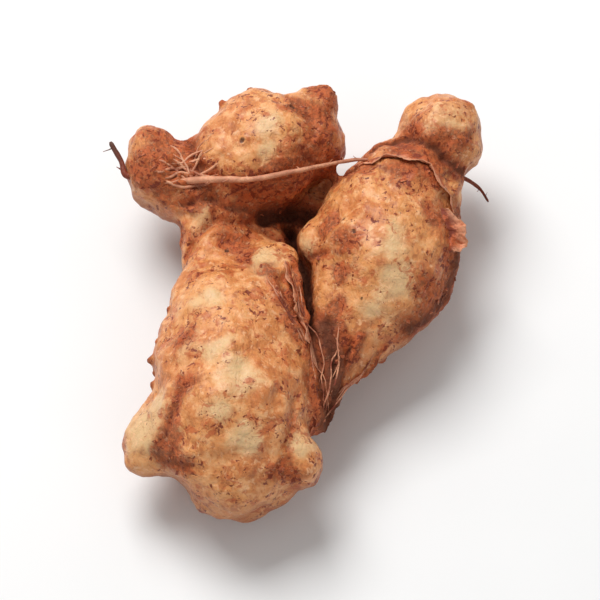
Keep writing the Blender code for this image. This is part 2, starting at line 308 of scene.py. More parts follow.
# Dry scale leaves: the line that each grows from, the way it lies over the skin, its width and how
# far its torn edge stands off, in mm.
SCALE_LEAVES = {
    "flank_scale_leaf": {
        "root_line": [(-1.8, 3.6, 16.0), (-0.5, -0.6, 16.0), (0.0, -4.6, 15.4), (0.8, -8.2, 14.6)],
        "lies": (-0.9, 0.1, 0.6),
        "width": 2.6,
        "lift": 0.75,
    },
    "bud_collar_leaf": {
        "root_line": [
            (9.2, 17.2, 16.4),
            (12.0, 18.8, 18.4),
            (15.4, 19.0, 19.8),
            (19.0, 17.6, 20.2),
            (21.6, 14.6, 18.6),
            (23.0, 11.6, 15.8),
        ],
        "lies": (-0.35, -0.85, 0.2),
        "width": 2.3,
        "lift": 0.7,
    },
    "side_finger_flake": {
        "root_line": [(20.6, 11.4, 17.8), (21.4, 9.2, 17.4), (21.8, 7.0, 16.8), (21.8, 4.9, 16.2)],
        "lies": (0.75, -0.2, -0.55),
        "width": 3.1,
        "lift": 1.9,
    },
}
FLAKES = 80
FLAKE_PATTERNS = 4
FLAKE_WALL = 0.07 * MM

# Thickness of a scale leaf, the rows of its sheet, and how far its root is sunk in the skin.
LEAF_WALL = 0.16 * MM
LEAF_ROWS = 10
LEAF_SUNK = 0.3 * MM

# Seeds both Python's draws and the offsets of noise_vector, which are different in each run without it.
SEED = 7
ROUGH_WELD = 1e-6
FINE_WELD = 1e-7

# How many times its own radius a patch reaches, and how far a fold is felt.
PATCH_REACH = 1.9
FOLD_REACH = 3.4 * MM
FOLD_STEPS = 20

# Smoothing passes that show the close and the wide hollows.
HOLLOW_PASSES = (30, 260)

# Spans that random offsets are drawn from.
EVEN = (-1, 1)
MOSTLY_UP = (-0.2, 0.8)


def share_point(shares):
    """The point at these shares of the rhizome's box."""
    return ROOT_LOW + Vector(part * side for part, side in zip(shares, ROOT_SIZE))


def ramp(value, low, high):
    """A smooth step from 0 at low to 1 at high."""
    t = min(max((value - low) / (high - low), 0.0), 1.0)
    return t * t * (3 - 2 * t)


def deselect_all():
    """Leaves nothing selected, so that the next operator acts on the new piece alone."""
    bpy.ops.object.select_all(action="DESELECT")


def make_active(piece):
    """Selects this piece and no other."""
    deselect_all()
    piece.select_set(True)
    bpy.context.view_layer.objects.active = piece


def apply_modifiers(piece):
    """Applies the piece's modifiers, from the first to the last."""
    make_active(piece)
    for modifier in list(piece.modifiers):
        bpy.ops.object.modifier_apply(modifier=modifier.name)


def weld(piece, gap, turn_out=True):
    """Merges points closer than the gap, and turns the faces outwards if asked."""
    make_active(piece)
    bpy.ops.object.mode_set(mode="EDIT")
    bpy.ops.mesh.select_all(action="SELECT")
    bpy.ops.mesh.remove_doubles(threshold=gap)
    if turn_out:
        bpy.ops.mesh.normals_make_consistent(inside=False)
    bpy.ops.object.mode_set(mode="OBJECT")


def random_offset(*spans):
    """A vector whose parts are drawn at random in turn, each between the ends of its span."""
    return Vector([random.uniform(*span) for span in spans]).to_3d()


def skin_search(piece):
    """A search tree of the piece's surface."""
    points = [vertex.co for vertex in piece.data.vertices]
    faces = [tuple(face.vertices) for face in piece.data.polygons]
    return BVHTree.FromPolygons(points, faces)


def seen_from_above(tree, across, along):
    """The highest point of the skin at these shares, and the skin's normal there."""
    start = share_point((across, along, 2.0))
    point, normal, _, _ = tree.ray_cast(start, -UP)
    if point is None:
        point, normal, _, _ = tree.find_nearest(share_point((across, along, 0.6)))
    return point, normal


def smooth_line(stations, steps):
    """Points on a smooth curve through the stations, with this many steps to each span."""
    padded = [stations[0], *stations, stations[-1]]
    line = []
    for before, start, end, after in zip(padded, padded[1:], padded[2:], padded[3:]):
        for step in range(steps):
            t = step / steps
            pull = (end - before) * t
            bend = (2 * before - 5 * start + 4 * end - after) * t**2
            twist = (3 * start - before - 3 * end + after) * t**3
            line.append((2 * start + pull + bend + twist) / 2)
    line.append(stations[-1])
    return line


def threads_to_mesh(name, threads, roundness):
    """One mesh of many thin tubes. Each thread is a list of (point, radius) from end to end."""
    deselect_all()
    bpy.ops.curve.primitive_nurbs_path_add()
    piece = bpy.context.object
    piece.name = name
    curve = piece.data
    curve.splines.clear()
    curve.dimensions = "3D"
    curve.bevel_depth = 1.0
    curve.bevel_resolution = roundness
    curve.use_fill_caps = True
    for thread in threads:
        spline = curve.splines.new("POLY")
        spline.points.add(len(thread) - 1)
        for knot, (point, radius) in zip(spline.points, thread):
            knot.co = (*point, 1)
            knot.radius = radius
    make_active(piece)
    bpy.ops.object.convert(target="MESH")
    weld(piece, FINE_WELD)
    piece.data.shade_smooth()
    return piece


def write_masks(mesh, masks):
    """Stores numbers, one for each vertex, as named attributes that materials read."""
    for name, numbers in masks.items():
        stored = mesh.attributes.new(name, "FLOAT", "POINT")
        stored.data.foreach_set("value", numbers)


class Reading:
    """A number that varies over a surface: one socket, with its sums written as Python."""

    def __init__(self, finish, socket):
        self.finish = finish
        self.socket = socket

    def _maths(self, operation, first, second):
        return self.finish.node("ShaderNodeMath", {"operation": operation}, {0: first, 1: second})

    def __add__(self, other):
        return self._maths("ADD", self, other)

    __radd__ = __add__

    def __sub__(self, other):
        return self._maths("SUBTRACT", self, other)

    def __rsub__(self, other):
        return self._maths("SUBTRACT", other, self)

    def __mul__(self, other):
        return self._maths("MULTIPLY", self, other)

    __rmul__ = __mul__

    def above(self, low, high):
        """0 under low, 1 over high, with a soft step between."""
        settings = {"interpolation_type": "SMOOTHSTEP"}
        inputs = {"Value": self, "From Min": low, "From Max": high}
        return self.finish.node("ShaderNodeMapRange", settings, inputs)

    def below(self, low, high):
        """1 under low, 0 over high, with a soft step between."""
        return 1 - self.above(low, high)


class Finish:
    """A procedural material while it is being made."""

    def __init__(self, name):
        self.material = bpy.data.materials.new(name)
        self.material.use_nodes = True
        self.tree = self.material.node_tree
        self.shader = self.tree.nodes["Principled BSDF"]
        self.place = self.node("ShaderNodeTexCoord", output="Object")

    def node(self, kind, settings=None, inputs=None, output=0):
        """Adds a node: its settings first, then its sockets' values or links."""
        made = self.tree.nodes.new(kind)
        for name, value in (settings or {}).items():
            setattr(made, name, value)
        for name, value in (inputs or {}).items():
            self._feed(made.inputs[name], value)
        return Reading(self, made.outputs[output])

    def _feed(self, socket, value):
        if isinstance(value, Reading):
            self.tree.links.new(value.socket, socket)
        elif socket.type == "RGBA" and len(value) == 3:
            socket.default_value = (*value, 1)
        else:
            socket.default_value = value

    def mask(self, name):
        """A number stored on the mesh."""
        return self.node("ShaderNodeAttribute", {"attribute_name": name}, output="Fac")

    def noise(self, size, detail=2.0, roughness=0.5, distortion=0.0, place=None):
        """Cloudy noise whose blots are about this size, in metres."""
        inputs = {"Vector": place or self.place, "Scale": 1 / size, "Detail": detail}
        inputs |= {"Roughness": roughness, "Distortion": distortion}
        return self.node("ShaderNodeTexNoise", None, inputs)

    def cell_edges(self, size, place):
        """Distance to the nearest edge between cells of about this size, in metres."""
        inputs = {"Vector": place, "Scale": 1 / size}
        return self.node("ShaderNodeTexVoronoi", {"feature": "DISTANCE_TO_EDGE"}, inputs)

    def vectors(self, operation, inputs):
        """Vector maths on coordinates."""
        return self.node("ShaderNodeVectorMath", {"operation": operation}, inputs)

    def warped(self, size, amount):
        """Object coordinates pushed about by noise, so that a pattern on them isn't regular."""
        inputs = {"Vector": self.place, "Scale": 1 / size}
        cloud = self.node("ShaderNodeTexNoise", None, inputs, "Color")
        centred = self.vectors("SUBTRACT", {0: cloud, 1: (0.5, 0.5, 0.5)})
        push = self.vectors("SCALE", {0: centred, "Scale": amount})
        return self.vectors("ADD", {0: self.place, 1: push})

    def stretched(self, scales):
        """Object coordinates with each axis scaled, so that a pattern on them is drawn out."""
        return self.vectors("MULTIPLY", {0: self.place, 1: scales})

    def mix(self, first, second, share):
        """A colour that goes from the first to the second."""
        settings = {"data_type": "RGBA"}
        return self.node("ShaderNodeMix", settings, {0: share, 6: first, 7: second}, 2)

    def bump(self, height, distance, strength=1.0, under=None):
        """A surface raised by height times distance, in metres, over another such surface."""
        inputs = {"Height": height, "Distance": distance, "Strength": strength}
        if under is not None:
            inputs["Normal"] = under
        return self.node("ShaderNodeBump", None, inputs)

    def close(self, varying, constant):
        """Feeds the shader what varies, and sets what doesn't."""
        for name, value in (varying | constant).items():
            self._feed(self.shader.inputs[name], value)
        return self.material


def skin_finish(skin):
    """Thin fresh skin: tan with orange and olive clouds, rusty flaking patches, specks and damp gloss,
    with painted shade in the hollows and creases and on the sides and undersides.
    """
    look = Finish("ginger_skin")
    rust_and_painted_shade, bare, hollow = look.mask("rust_and_painted_shade"), look.mask("bare"), look.mask("hollow")
    ring, scar, flank = look.mask("ring"), look.mask("scar"), look.mask("flank")
    wandering = look.warped(2.2 * MM, 1.6 * MM)
    drawn_out = look.stretched((2.6, 1.0, 2.6))
    clouds = look.noise(7.0 * MM, detail=3.0)
    mottle = look.noise(2.0 * MM, detail=4.0, roughness=0.6, distortion=0.4)
    grain = look.noise(0.5 * MM, detail=3.0, roughness=0.6)
    fine = look.noise(0.16 * MM, detail=2.0)
    threads = look.noise(1.3 * MM, detail=4.0, roughness=0.65, distortion=0.5, place=drawn_out)

    colour = look.mix(skin.orange, skin.tan, clouds.above(0.36, 0.6))
    colour = look.mix(colour, skin.peach, mottle.above(0.47, 0.66) * 0.85)
    colour = look.mix(colour, skin.amber, (mottle * 0.6 + threads * 0.4).below(0.38, 0.5) * 0.75)
    worn = (bare + (mottle - 0.5) * 0.9 + (clouds - 0.5) * 0.6).above(0.25, 1.1)
    colour = look.mix(colour, skin.olive, worn * 0.85)
    flecks = look.noise(0.95 * MM, detail=3.0, roughness=0.6, place=wandering)
    colour = look.mix(colour, skin.highlight, flecks.above(0.56, 0.68) * 0.6)

    russet = (rust_and_painted_shade + (mottle - 0.5) * 1.7 + (clouds - 0.5) * 0.5 + (grain - 0.5) * 0.7).above(0.18, 0.85)
    rust_colour = look.mix(skin.rust_and_painted_shade, skin.rust_light, (grain * 0.5 + threads * 0.5).above(0.44, 0.58))
    colour = look.mix(colour, rust_colour, russet * 0.85)
    lifted = look.noise(0.8 * MM, detail=3.0, roughness=0.7, place=wandering).above(0.57, 0.66)
    colour = look.mix(colour, skin.flake, lifted * russet * 0.5)

    patchy = look.noise(3.4 * MM, detail=2.0, place=wandering).above(0.38, 0.62)
    blush = look.noise(1.3 * MM, detail=4.0, roughness=0.65, distortion=0.5, place=wandering)
    blush = (blush + rust_and_painted_shade * 0.06 + (patchy - 0.5) * 0.14 - worn * 0.06).above(0.52, 0.66)
    colour = look.mix(colour, skin.rust_light, blush * 0.75)
    veins = look.cell_edges(1.7 * MM, wandering).below(0.01, 0.08)
    specks = look.noise(0.75 * MM, detail=3.0, roughness=0.6, place=wandering)
    specks = (specks + rust_and_painted_shade * 0.05 + (patchy - 0.5) * 0.09 - worn * 0.05).above(0.6, 0.68)
    marks = specks * 0.95 + veins * patchy * 0.35
    colour = look.mix(colour, skin.rust_and_painted_shade, marks.above(0.05, 1.1))

    colour = look.mix(colour, skin.rust_and_painted_shade, (ring + (mottle - 0.5) * 0.9).above(0.2, 1.0) * 0.55)
    # Painted shade, with some russet: the skin's sides and undersides are darkened towards the rough
    # skin's colour.
    colour = look.mix(colour, skin.rust_and_painted_shade, (flank + (mottle - 0.5) * 0.9).above(0.15, 1.25) * 0.7)
    # Painted shade: the hollows, creases and shaded folds are darkened towards deep brown.
    painted_shade_and_dark_fibre = (hollow + (grain - 0.5) * 0.4 + (mottle - 0.5) * 0.4).above(0.25, 0.95)
    colour = look.mix(colour, skin.painted_shade_and_dark_fibre, painted_shade_and_dark_fibre * 0.88)
    colour = look.mix(colour, skin.dark, scar.above(0.25, 0.8) * 0.85)

    shine = 0.34 + 0.26 * russet + 0.18 * grain + 0.2 * painted_shade_and_dark_fibre - 0.05 * worn
    damp = 0.16 * (1 - russet) * (1 - painted_shade_and_dark_fibre)

    wrinkles = look.noise(1.1 * MM, detail=5.0, roughness=0.62, distortion=0.6, place=wandering)
    surface = look.bump(wrinkles, 0.4 * MM, 0.6)
    surface = look.bump(threads, 0.25 * MM, 0.5, surface)
    surface = look.bump(veins * patchy, -0.05 * MM, 0.7, surface)
    surface = look.bump(russet * lifted, 0.14 * MM, 0.8, surface)
    surface = look.bump(grain * (0.35 + russet) + fine * 0.25, 0.1 * MM, 0.8, surface)
    varying = {"Base Color": colour, "Roughness": shine, "Coat Weight": damp, "Normal": surface}
    constant = {
        "Subsurface Weight": 0.08,
        "Subsurface Radius": (1.0, 0.35, 0.15),
        "Subsurface Scale": 0.7 * MM,
        "Coat Roughness": 0.28,
        "Specular IOR Level": 0.32,
    }
    return look.close(varying, constant)


def fibre_finish(skin):
    """Dry root fibre: pinkish tan strands, darker where the mask says so."""
    look = Finish("root_fibre")
    clouds = look.noise(2.6 * MM, detail=3.0)
    grain = look.noise(0.3 * MM, detail=3.0, roughness=0.6)
    shade = look.mask("shade")
    colour = look.mix(skin.fibre, skin.flake, clouds.above(0.42, 0.6))
    browned = (shade + (grain - 0.5) * 0.7 + (clouds - 0.5) * 0.8).above(0.1, 0.8)
    colour = look.mix(colour, skin.rust_and_painted_shade, browned)
    colour = look.mix(colour, skin.painted_shade_and_dark_fibre, (shade + (grain - 0.5) * 0.3).above(0.7, 1.1))
    surface = look.bump(grain, 0.12 * MM, 0.8)
    varying = {"Base Color": colour, "Roughness": 0.45 + 0.3 * grain, "Normal": surface}
    return look.close(varying, {"Subsurface Weight": 0.1, "Subsurface Scale": 0.4 * MM})


def scale_finish(skin):
    """Papery dry leaf: reddish brown at its root, with ribs and a pale torn edge."""
    look = Finish("scale_leaf")
    shade = look.mask("shade")
    grain = look.noise(0.35 * MM, detail=3.0, roughness=0.65)
    clouds = look.noise(1.8 * MM, detail=3.0)
    colour = look.mix(skin.rust_and_painted_shade, skin.rust_light, (clouds + (grain - 0.5) * 0.5).above(0.36, 0.6))
    edge = (shade + (grain - 0.5) * 0.9 + (clouds - 0.5) * 0.6).above(0.35, 1.0)
    colour = look.mix(colour, skin.flake, edge * 0.7)
    surface = look.bump(grain, 0.15 * MM, 0.9)
    varying = {"Base Color": colour, "Roughness": 0.5 + 0.3 * grain, "Normal": surface}
    return look.close(varying, {"Subsurface Weight": 0.1, "Subsurface Scale": 0.4 * MM})


def floor_finish(stage):
    """Matt pale card."""
    look = Finish("studio_card")
    mottle = look.noise(40 * MM, detail=2.0)
    colour = look.mix(stage.card, stage.card_shade, mottle.above(0.3, 0.8))
    return look.close({"Base Color": colour}, {"Roughness": 0.9})


def length_property(name, description, millimetres):
    """A property that holds a length."""
    return FloatProperty(
        name=name, description=description, default=millimetres * MM, unit="LENGTH", precision=5
    )


def colour_property(name, description, shade):
    """A property that holds a colour."""
    return FloatVectorProperty(name=name, description=description, default=shade, subtype="COLOR")


class GINGER_PG_skin(bpy.types.PropertyGroup):
    """Sizes and colours of the root's skin and of what grows on it."""

    grain: length_property("Grain", "Size of the skin's faces", 0.32)
    smoothing: IntProperty(
        name="Smoothing", description="Passes that round off the solid's facets", default=14
    )
    lumps: length_property("Lumps", "Height of the low lumps", 0.5)
    knobs: length_property("Knobs", "Height of the small knobs", 0.2)
    wrinkles: length_property("Wrinkles", "Height of the wrinkles", 0.22)
    flaking: length_property("Flaking", "Height of the rough rusty skin", 0.22)
    ring_height: length_property("Ring height", "Height of a leaf scar's step", 0.2)
    orange: colour_property("Orange", "Skin between the clouds", (0.68, 0.235, 0.07))
    tan: colour_property("Tan", "Most of the skin", (0.78, 0.325, 0.105))
    peach: colour_property("Peach", "Light mottling", (0.9, 0.46, 0.2))
    amber: colour_property("Amber", "Dark mottling", (0.44, 0.13, 0.04))
    olive: colour_property("Olive", "Skin worn thin", (0.78, 0.53, 0.27))
    highlight: colour_property("Highlight", "The palest flecks", (0.95, 0.56, 0.3))
    # This colour is also painted as shade on the skin's sides and undersides.
    rust_and_painted_shade: colour_property("Rust", "Rough skin and specks", (0.22, 0.034, 0.01))
    rust_light: colour_property("Light rust", "High spots of rough skin", (0.52, 0.112, 0.03))
    flake: colour_property("Flake", "Lifted edges of thin skin", (0.8, 0.38, 0.21))
    fibre: colour_property("Fibre", "Rootlets and strands", (0.55, 0.22, 0.12))
    # The colour of the painted shade in the skin's hollows, and of the dark rootlet tips and fibres.
    painted_shade_and_dark_fibre: colour_property("Painted shade and dark fibre", "What lies in the hollows", (0.1, 0.03, 0.015))
    dark: colour_property("Scar", "Broken-off roots", (0.085, 0.025, 0.01))


class GINGER_PG_stage(bpy.types.PropertyGroup):
    """The studio: camera, card and lights."""

    elevation: FloatProperty(
        name="Elevation", description="Height of the view", default=math.radians(65), subtype="ANGLE"
    )
    lens: FloatProperty(name="Lens", description="Focal length in millimetres", default=250.0)
    fill: FloatProperty(
        name="Fill", description="Share of the picture that the root takes", default=0.8, subtype="FACTOR"
    )
    card: colour_property("Card", "The floor's colour", (0.93, 0.93, 0.925))
    card_shade: colour_property("Card shade", "The floor's clouds", (0.9, 0.9, 0.895))
    key_power: FloatProperty(name="Key", description="Key light in watts", default=3.5, unit="POWER")
    fill_power: FloatProperty(
        name="Fill light", description="Fill light in watts", default=0.35, unit="POWER"
    )
    sky: FloatProperty(name="Sky", description="Strength of the even light", default=0.36)


class GINGER_OT_rhizome(bpy.types.Operator):
    """Grows the fine skin over the rhizome's solid"""

    bl_idname = "ginger.rhizome"
    bl_label = "Rhizome"

    def execute(self, context):
        settings = context.scene.ginger_skin
        skin = self.rough_copy(settings)
        hollow = self.hollows(skin)
        self.shape_skin(skin, settings, hollow)
        skin.data.shade_smooth()
        skin.data.materials.clear()
        skin.data.materials.append(skin_finish(settings))
        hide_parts("rhizome")
        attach(skin, "root")
        return {"FINISHED"}

    def rough_copy(self, settings):
        """A copy of the solid with even, small faces and its facets rounded off."""
        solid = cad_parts["rhizome"]
        skin = bpy.data.objects.new("rhizome_skin", solid.data.copy())
        bpy.context.scene.collection.objects.link(skin)
        weld(skin, ROUGH_WELD, turn_out=False)
        rounder = skin.modifiers.new("rounder", "SUBSURF")
        rounder.levels = rounder.render_levels = 1
        apply_modifiers(skin)
        self.close_pocket(skin)
        even = skin.modifiers.new("even", "REMESH")
        even.mode = "VOXEL"
        even.voxel_size = settings.grain
        calm = skin.modifiers.new("calm", "SMOOTH")
        calm.iterations = settings.smoothing
        apply_modifiers(skin)
        return skin

    def close_pocket(self, skin):
        """Joins a small web to the skin, low between the head and the side finger."""
        deselect_all()
        bpy.ops.mesh.primitive_uv_sphere_add(segments=24, ring_count=16, radius=1.0)
        web = bpy.context.object
        middle, size = POCKET_WEB
        stretch = Matrix.Diagonal((*(Vector(size) * MM), 1))
        web.data.transform(Matrix.Translation(Vector(middle) * MM) @ stretch)
        web.select_set(True)
        skin.select_set(True)
        bpy.context.view_layer.objects.active = skin
        bpy.ops.object.join()

    def hollows(self, skin):
        """How far each point lies in a hollow, in metres, at a close and at a wide reach."""
        reaches = []
        for passes in HOLLOW_PASSES:
            calm = skin.copy()
            calm.data = skin.data.copy()
            bpy.context.scene.collection.objects.link(calm)
            smooth = calm.modifiers.new("calm", "SMOOTH")
            smooth.iterations = passes
            apply_modifiers(calm)
            pairs = zip(skin.data.vertices, calm.data.vertices)
            reaches.append([(after.co - before.co).dot(before.normal) for before, after in pairs])
            bpy.data.objects.remove(calm)
        return reaches

    def patches(self, tree, places):
        """The middle and radius of each patch, in metres."""
        found = []
        for across, along, radius in places:
            point, _ = seen_from_above(tree, across, along)
            found.append((point, radius * MM))
        return found

    def nearness(self, point, patches):
        """1 at a patch's middle, 0 well outside every patch."""
        most = 0.0
        for middle, radius in patches:
            far = (point - middle).length / radius
            if far < PATCH_REACH:
                most = max(most, 1 - ramp(far, 0.1, PATCH_REACH))
        return most

    def ring_height(self, point, scars):
        """(step, line) of the leaf scars at a point: how high the skin stands, and how dark it is."""
        step, line = 0.0, 0.0
        wave = noise.noise(point / (5 * MM)) * 1.3 + noise.noise(point / (1.4 * MM)) * 0.35
        breaks = ramp(noise.noise(point / (3.2 * MM) + Vector((7, 1, 4))), -0.35, 0.25)
        for middle, way, reach, boldness in scars:
            offset = point - middle
            if offset.length > reach:
                continue
            along = offset.dot(way) / MM + wave
            fade = (1 - ramp(offset.length, 0.8 * reach, reach)) * boldness * (0.25 + 0.75 * breaks)
            ridge = math.exp(-((along - 0.5) / 0.75) ** 2)
            groove = math.exp(-((along + 0.5) / 0.5) ** 2)
            step += fade * (ridge - 0.7 * groove)
            line = max(line, fade * math.exp(-((along + 0.35) / 0.7) ** 2))
        return step, line

    def fold_search(self, tree):
        """Points close together along every fold, in a search tree, and which fold each is on."""
        points = []
        for number, (places, *_) in enumerate(FOLDS):
            stations = [seen_from_above(tree, *place)[0] for place in places]
            for point in smooth_line(stations, FOLD_STEPS):
                near = tree.find_nearest(point)[0]
                points.append((near, number))
        search = KDTree(len(points))
        for index, (point, _) in enumerate(points):
            search.insert(point, index)
        search.balance()
        return search, [number for _, number in points]

    def fold_at(self, point, folds):
        """(rise along the normal, drop, painted shade, rust) of the folds at a point, lengths in metres.
        """
        search, owners = folds
        nearest = {}
        for _, index, distance in search.find_range(point, FOLD_REACH):
            owner = owners[index]
            nearest[owner] = min(nearest.get(owner, 1.0), distance)
        rise, drop, dark, rust_and_painted_shade = 0.0, 0.0, 0.0, 0.0
        for owner, distance in nearest.items():
            _, height, width, fold_painted_shade, fold_rust = FOLDS[owner]
            uneven = 1 + 0.5 * noise.noise(point / (1.5 * MM) + Vector((owner, 0, 0)))
            close = math.exp(-(distance / (width * MM)) ** 2) * uneven
            broad = math.exp(-(distance / (1.7 * width * MM)) ** 2)
            if height > 0:
                rise += height * close * MM
            else:
                drop = max(drop, -height * close * MM)
            dark = max(dark, fold_painted_shade * math.exp(-(distance / (1.15 * width * MM)) ** 2))
            rust_and_painted_shade = max(rust_and_painted_shade, fold_rust * broad)
        return rise, drop, dark, rust_and_painted_shade

    def stub_height(self, point, stubs):
        """How high a broken root's stub stands at a point, in metres, and how dark it is."""
        height, tone = 0.0, 0.0
        for middle, radius, tall in stubs:
            far = (point - middle).length / radius
            if far < 2:
                cap = 1 - ramp(far, 0.45, 1.3)
                height = max(height, tall * cap)
                tone = max(tone, 1 - ramp(far, 0.5, 1.9))
        return height, tone

    def shape_skin(self, skin, settings, hollow):
        """Raises lumps, wrinkles, leaf scars and rough patches, and stores their masks."""
        tree = skin_search(skin)
        bare_patches = self.patches(tree, BARE_PATCHES)
        rusty_patches = self.patches(tree, RUSTY_PATCHES)
        root_scars = self.patches(tree, ROOT_SCARS)
        leaf_scars = [
            (share_point(shares), Vector(way).normalized(), reach * MM, boldness)
            for shares, way, reach, boldness in LEAF_SCARS
        ]
        stubs = [
            (tree.find_nearest(share_point(shares))[0], radius * MM, height * MM)
            for shares, radius, height in ROOT_STUBS
        ]
        folds = self.fold_search(tree)
        masks = {"rust_and_painted_shade": [], "bare": [], "hollow": [], "ring": [], "scar": [], "flank": []}
        heights, drops = [], []
        close, wide = hollow
        for vertex, near_hollow, deep_hollow in zip(skin.data.vertices, close, wide):
            point = vertex.co
            wander = noise.noise_vector(point / (3.5 * MM)) * 1.6 * MM
            moved = point + wander
            cloud = noise.fractal(point / (5.5 * MM), 1.0, 2.0, 3)
            knob = noise.fractal(point / (2.4 * MM) + Vector((3, 8, 2)), 1.0, 2.0, 2)
            wrinkle = noise.multi_fractal(moved / (2.0 * MM), 0.9, 2.1, 3) - 1
            rough = noise.fractal(moved / (0.9 * MM), 0.8, 2.1, 2)
            sunk = ramp(deep_hollow, 0.25 * MM, 1.5 * MM)
            crease = ramp(near_hollow, 0.05 * MM, 0.3 * MM)
            underside = ramp(-vertex.normal.z, 0.1, 0.9)
            strewn = ramp(noise.noise(point / (7.5 * MM) + Vector((5, 3, 1))), -0.1, 0.9)
            spots = self.nearness(moved, rusty_patches)
            rise, drop, fold_painted_shade, fold_rust = self.fold_at(point + wander * 0.3, folds)
            bare = self.nearness(moved, bare_patches) * (1 - 0.6 * spots)
            strewn *= 0.27 * (1 - bare)
            # Deep hollows and folds add to this mask: partly rough skin, partly painted shade.
            rust_and_painted_shade = 1 - (1 - spots) * (1 - strewn) * (1 - 0.7 * sunk) * (1 - fold_rust)
            step, line = self.ring_height(point, leaf_scars)
            stub, stub_tone = self.stub_height(point + wander * 0.3, stubs)
            ragged = noise.noise_vector(point / (0.8 * MM)) * 0.25 * MM
            pit = self.nearness(point + wander * 0.1 + ragged, root_scars)
            height = settings.lumps * cloud
            height += settings.knobs * knob * (1 - 0.5 * bare)
            height += settings.wrinkles * wrinkle * (0.5 + 0.5 * rust_and_painted_shade) * (1 - 0.5 * bare)
            height += settings.flaking * rough * rust_and_painted_shade
            height += settings.ring_height * step
            height += rise - 0.5 * MM * sunk
            height += stub + (0.16 * ramp(pit, 0.1, 0.5) - 0.42 * ramp(pit, 0.55, 1.0)) * MM
            heights.append(height * (1 - 0.7 * underside))
            drops.append(drop)
            masks["rust_and_painted_shade"].append(max(rust_and_painted_shade, 0.9 * stub_tone))
            masks["bare"].append(bare)
            # Where shade is painted: the deep hollows, the creases and the folds' painted shade.
            masks["hollow"].append(max(sunk, 0.75 * crease, fold_painted_shade))
            masks["ring"].append(line)
            masks["scar"].append(ramp(pit, 0.5, 0.95))
            # How far the skin faces sideways or down, where shade is painted.
            masks["flank"].append(ramp(-vertex.normal.z, -0.55, 0.35))
        normals = [vertex.normal.copy() for vertex in skin.data.vertices]
        for vertex, normal, height, drop in zip(skin.data.vertices, normals, heights, drops):
            vertex.co += normal * height - UP * drop
            vertex.co.z = max(vertex.co.z, 0.0)
        write_masks(skin.data, masks)


class GINGER_OT_rootlets(bpy.types.Operator):
    """Grows the three long rootlets"""

    bl_idname = "ginger.rootlets"
    bl_label = "Rootlets"

    def execute(self, context):
        finish = fibre_finish(context.scene.ginger_skin)
        for node, rootlet in ROOTLETS.items():
            stations = [Vector(place) * MM for place in rootlet["route"]]
            line = smooth_line(stations, 10)
            main = self.knobbly(line, *rootlet["radii"])
            piece = threads_to_mesh(node + "_strand", [main, *self.hairs(main)], 3)
            write_masks(piece.data, {"shade": self.shades(piece, line, rootlet["tones"])})
            piece.data.materials.append(finish)
            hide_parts(node)
            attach(piece, "root")
        return {"FINISHED"}

    def knobbly(self, line, start_radius, end_radius):
        """The rootlet's own thread: it wavers, swells at its joints and ends in a point."""
        thread = []
        last = len(line) - 1
        for number, point in enumerate(line):
            share = number / last
            radius = (start_radius + (end_radius - start_radius) * share) * MM
            swell = 1 + 0.2 * noise.noise(point / (1.1 * MM)) + 0.5 * math.exp(-number / 2)
            waver = noise.noise_vector(point / (3.0 * MM)) * 0.22 * MM * math.sin(math.pi * share)
            thread.append((point + waver, radius * swell))
        tip, before = thread[-1][0], thread[-2][0]
        way = (tip - before).normalized()
        thread.append((tip + way * 0.3 * MM, thread[-1][1] * 0.55))
        return thread

    def hairs(self, main):
        """Short side hairs along the rootlet."""
        hairs = []
        for point, radius in main[6:-4:7]:
            way = random_offset(EVEN, EVEN, MOSTLY_UP).normalized()
            long = random.uniform(0.7, 1.5) * MM
            bent = random_offset(EVEN, EVEN, EVEN) * 0.25 * long
            middle, tip = point + way * long * 0.55, point + way * long + bent
            hairs.append([(point, 0.3 * radius), (middle, 0.2 * radius), (tip, 0.1 * radius)])
        return hairs

    def shades(self, piece, line, tones):
        """How dark each point is, from the rootlet's base to its tip."""
        first, last = tones
        shades = []
        for vertex in piece.data.vertices:
            nearest = min(range(len(line)), key=lambda number: (line[number] - vertex.co).length_squared)
            shades.append(first + (last - first) * nearest / (len(line) - 1))
        return shades


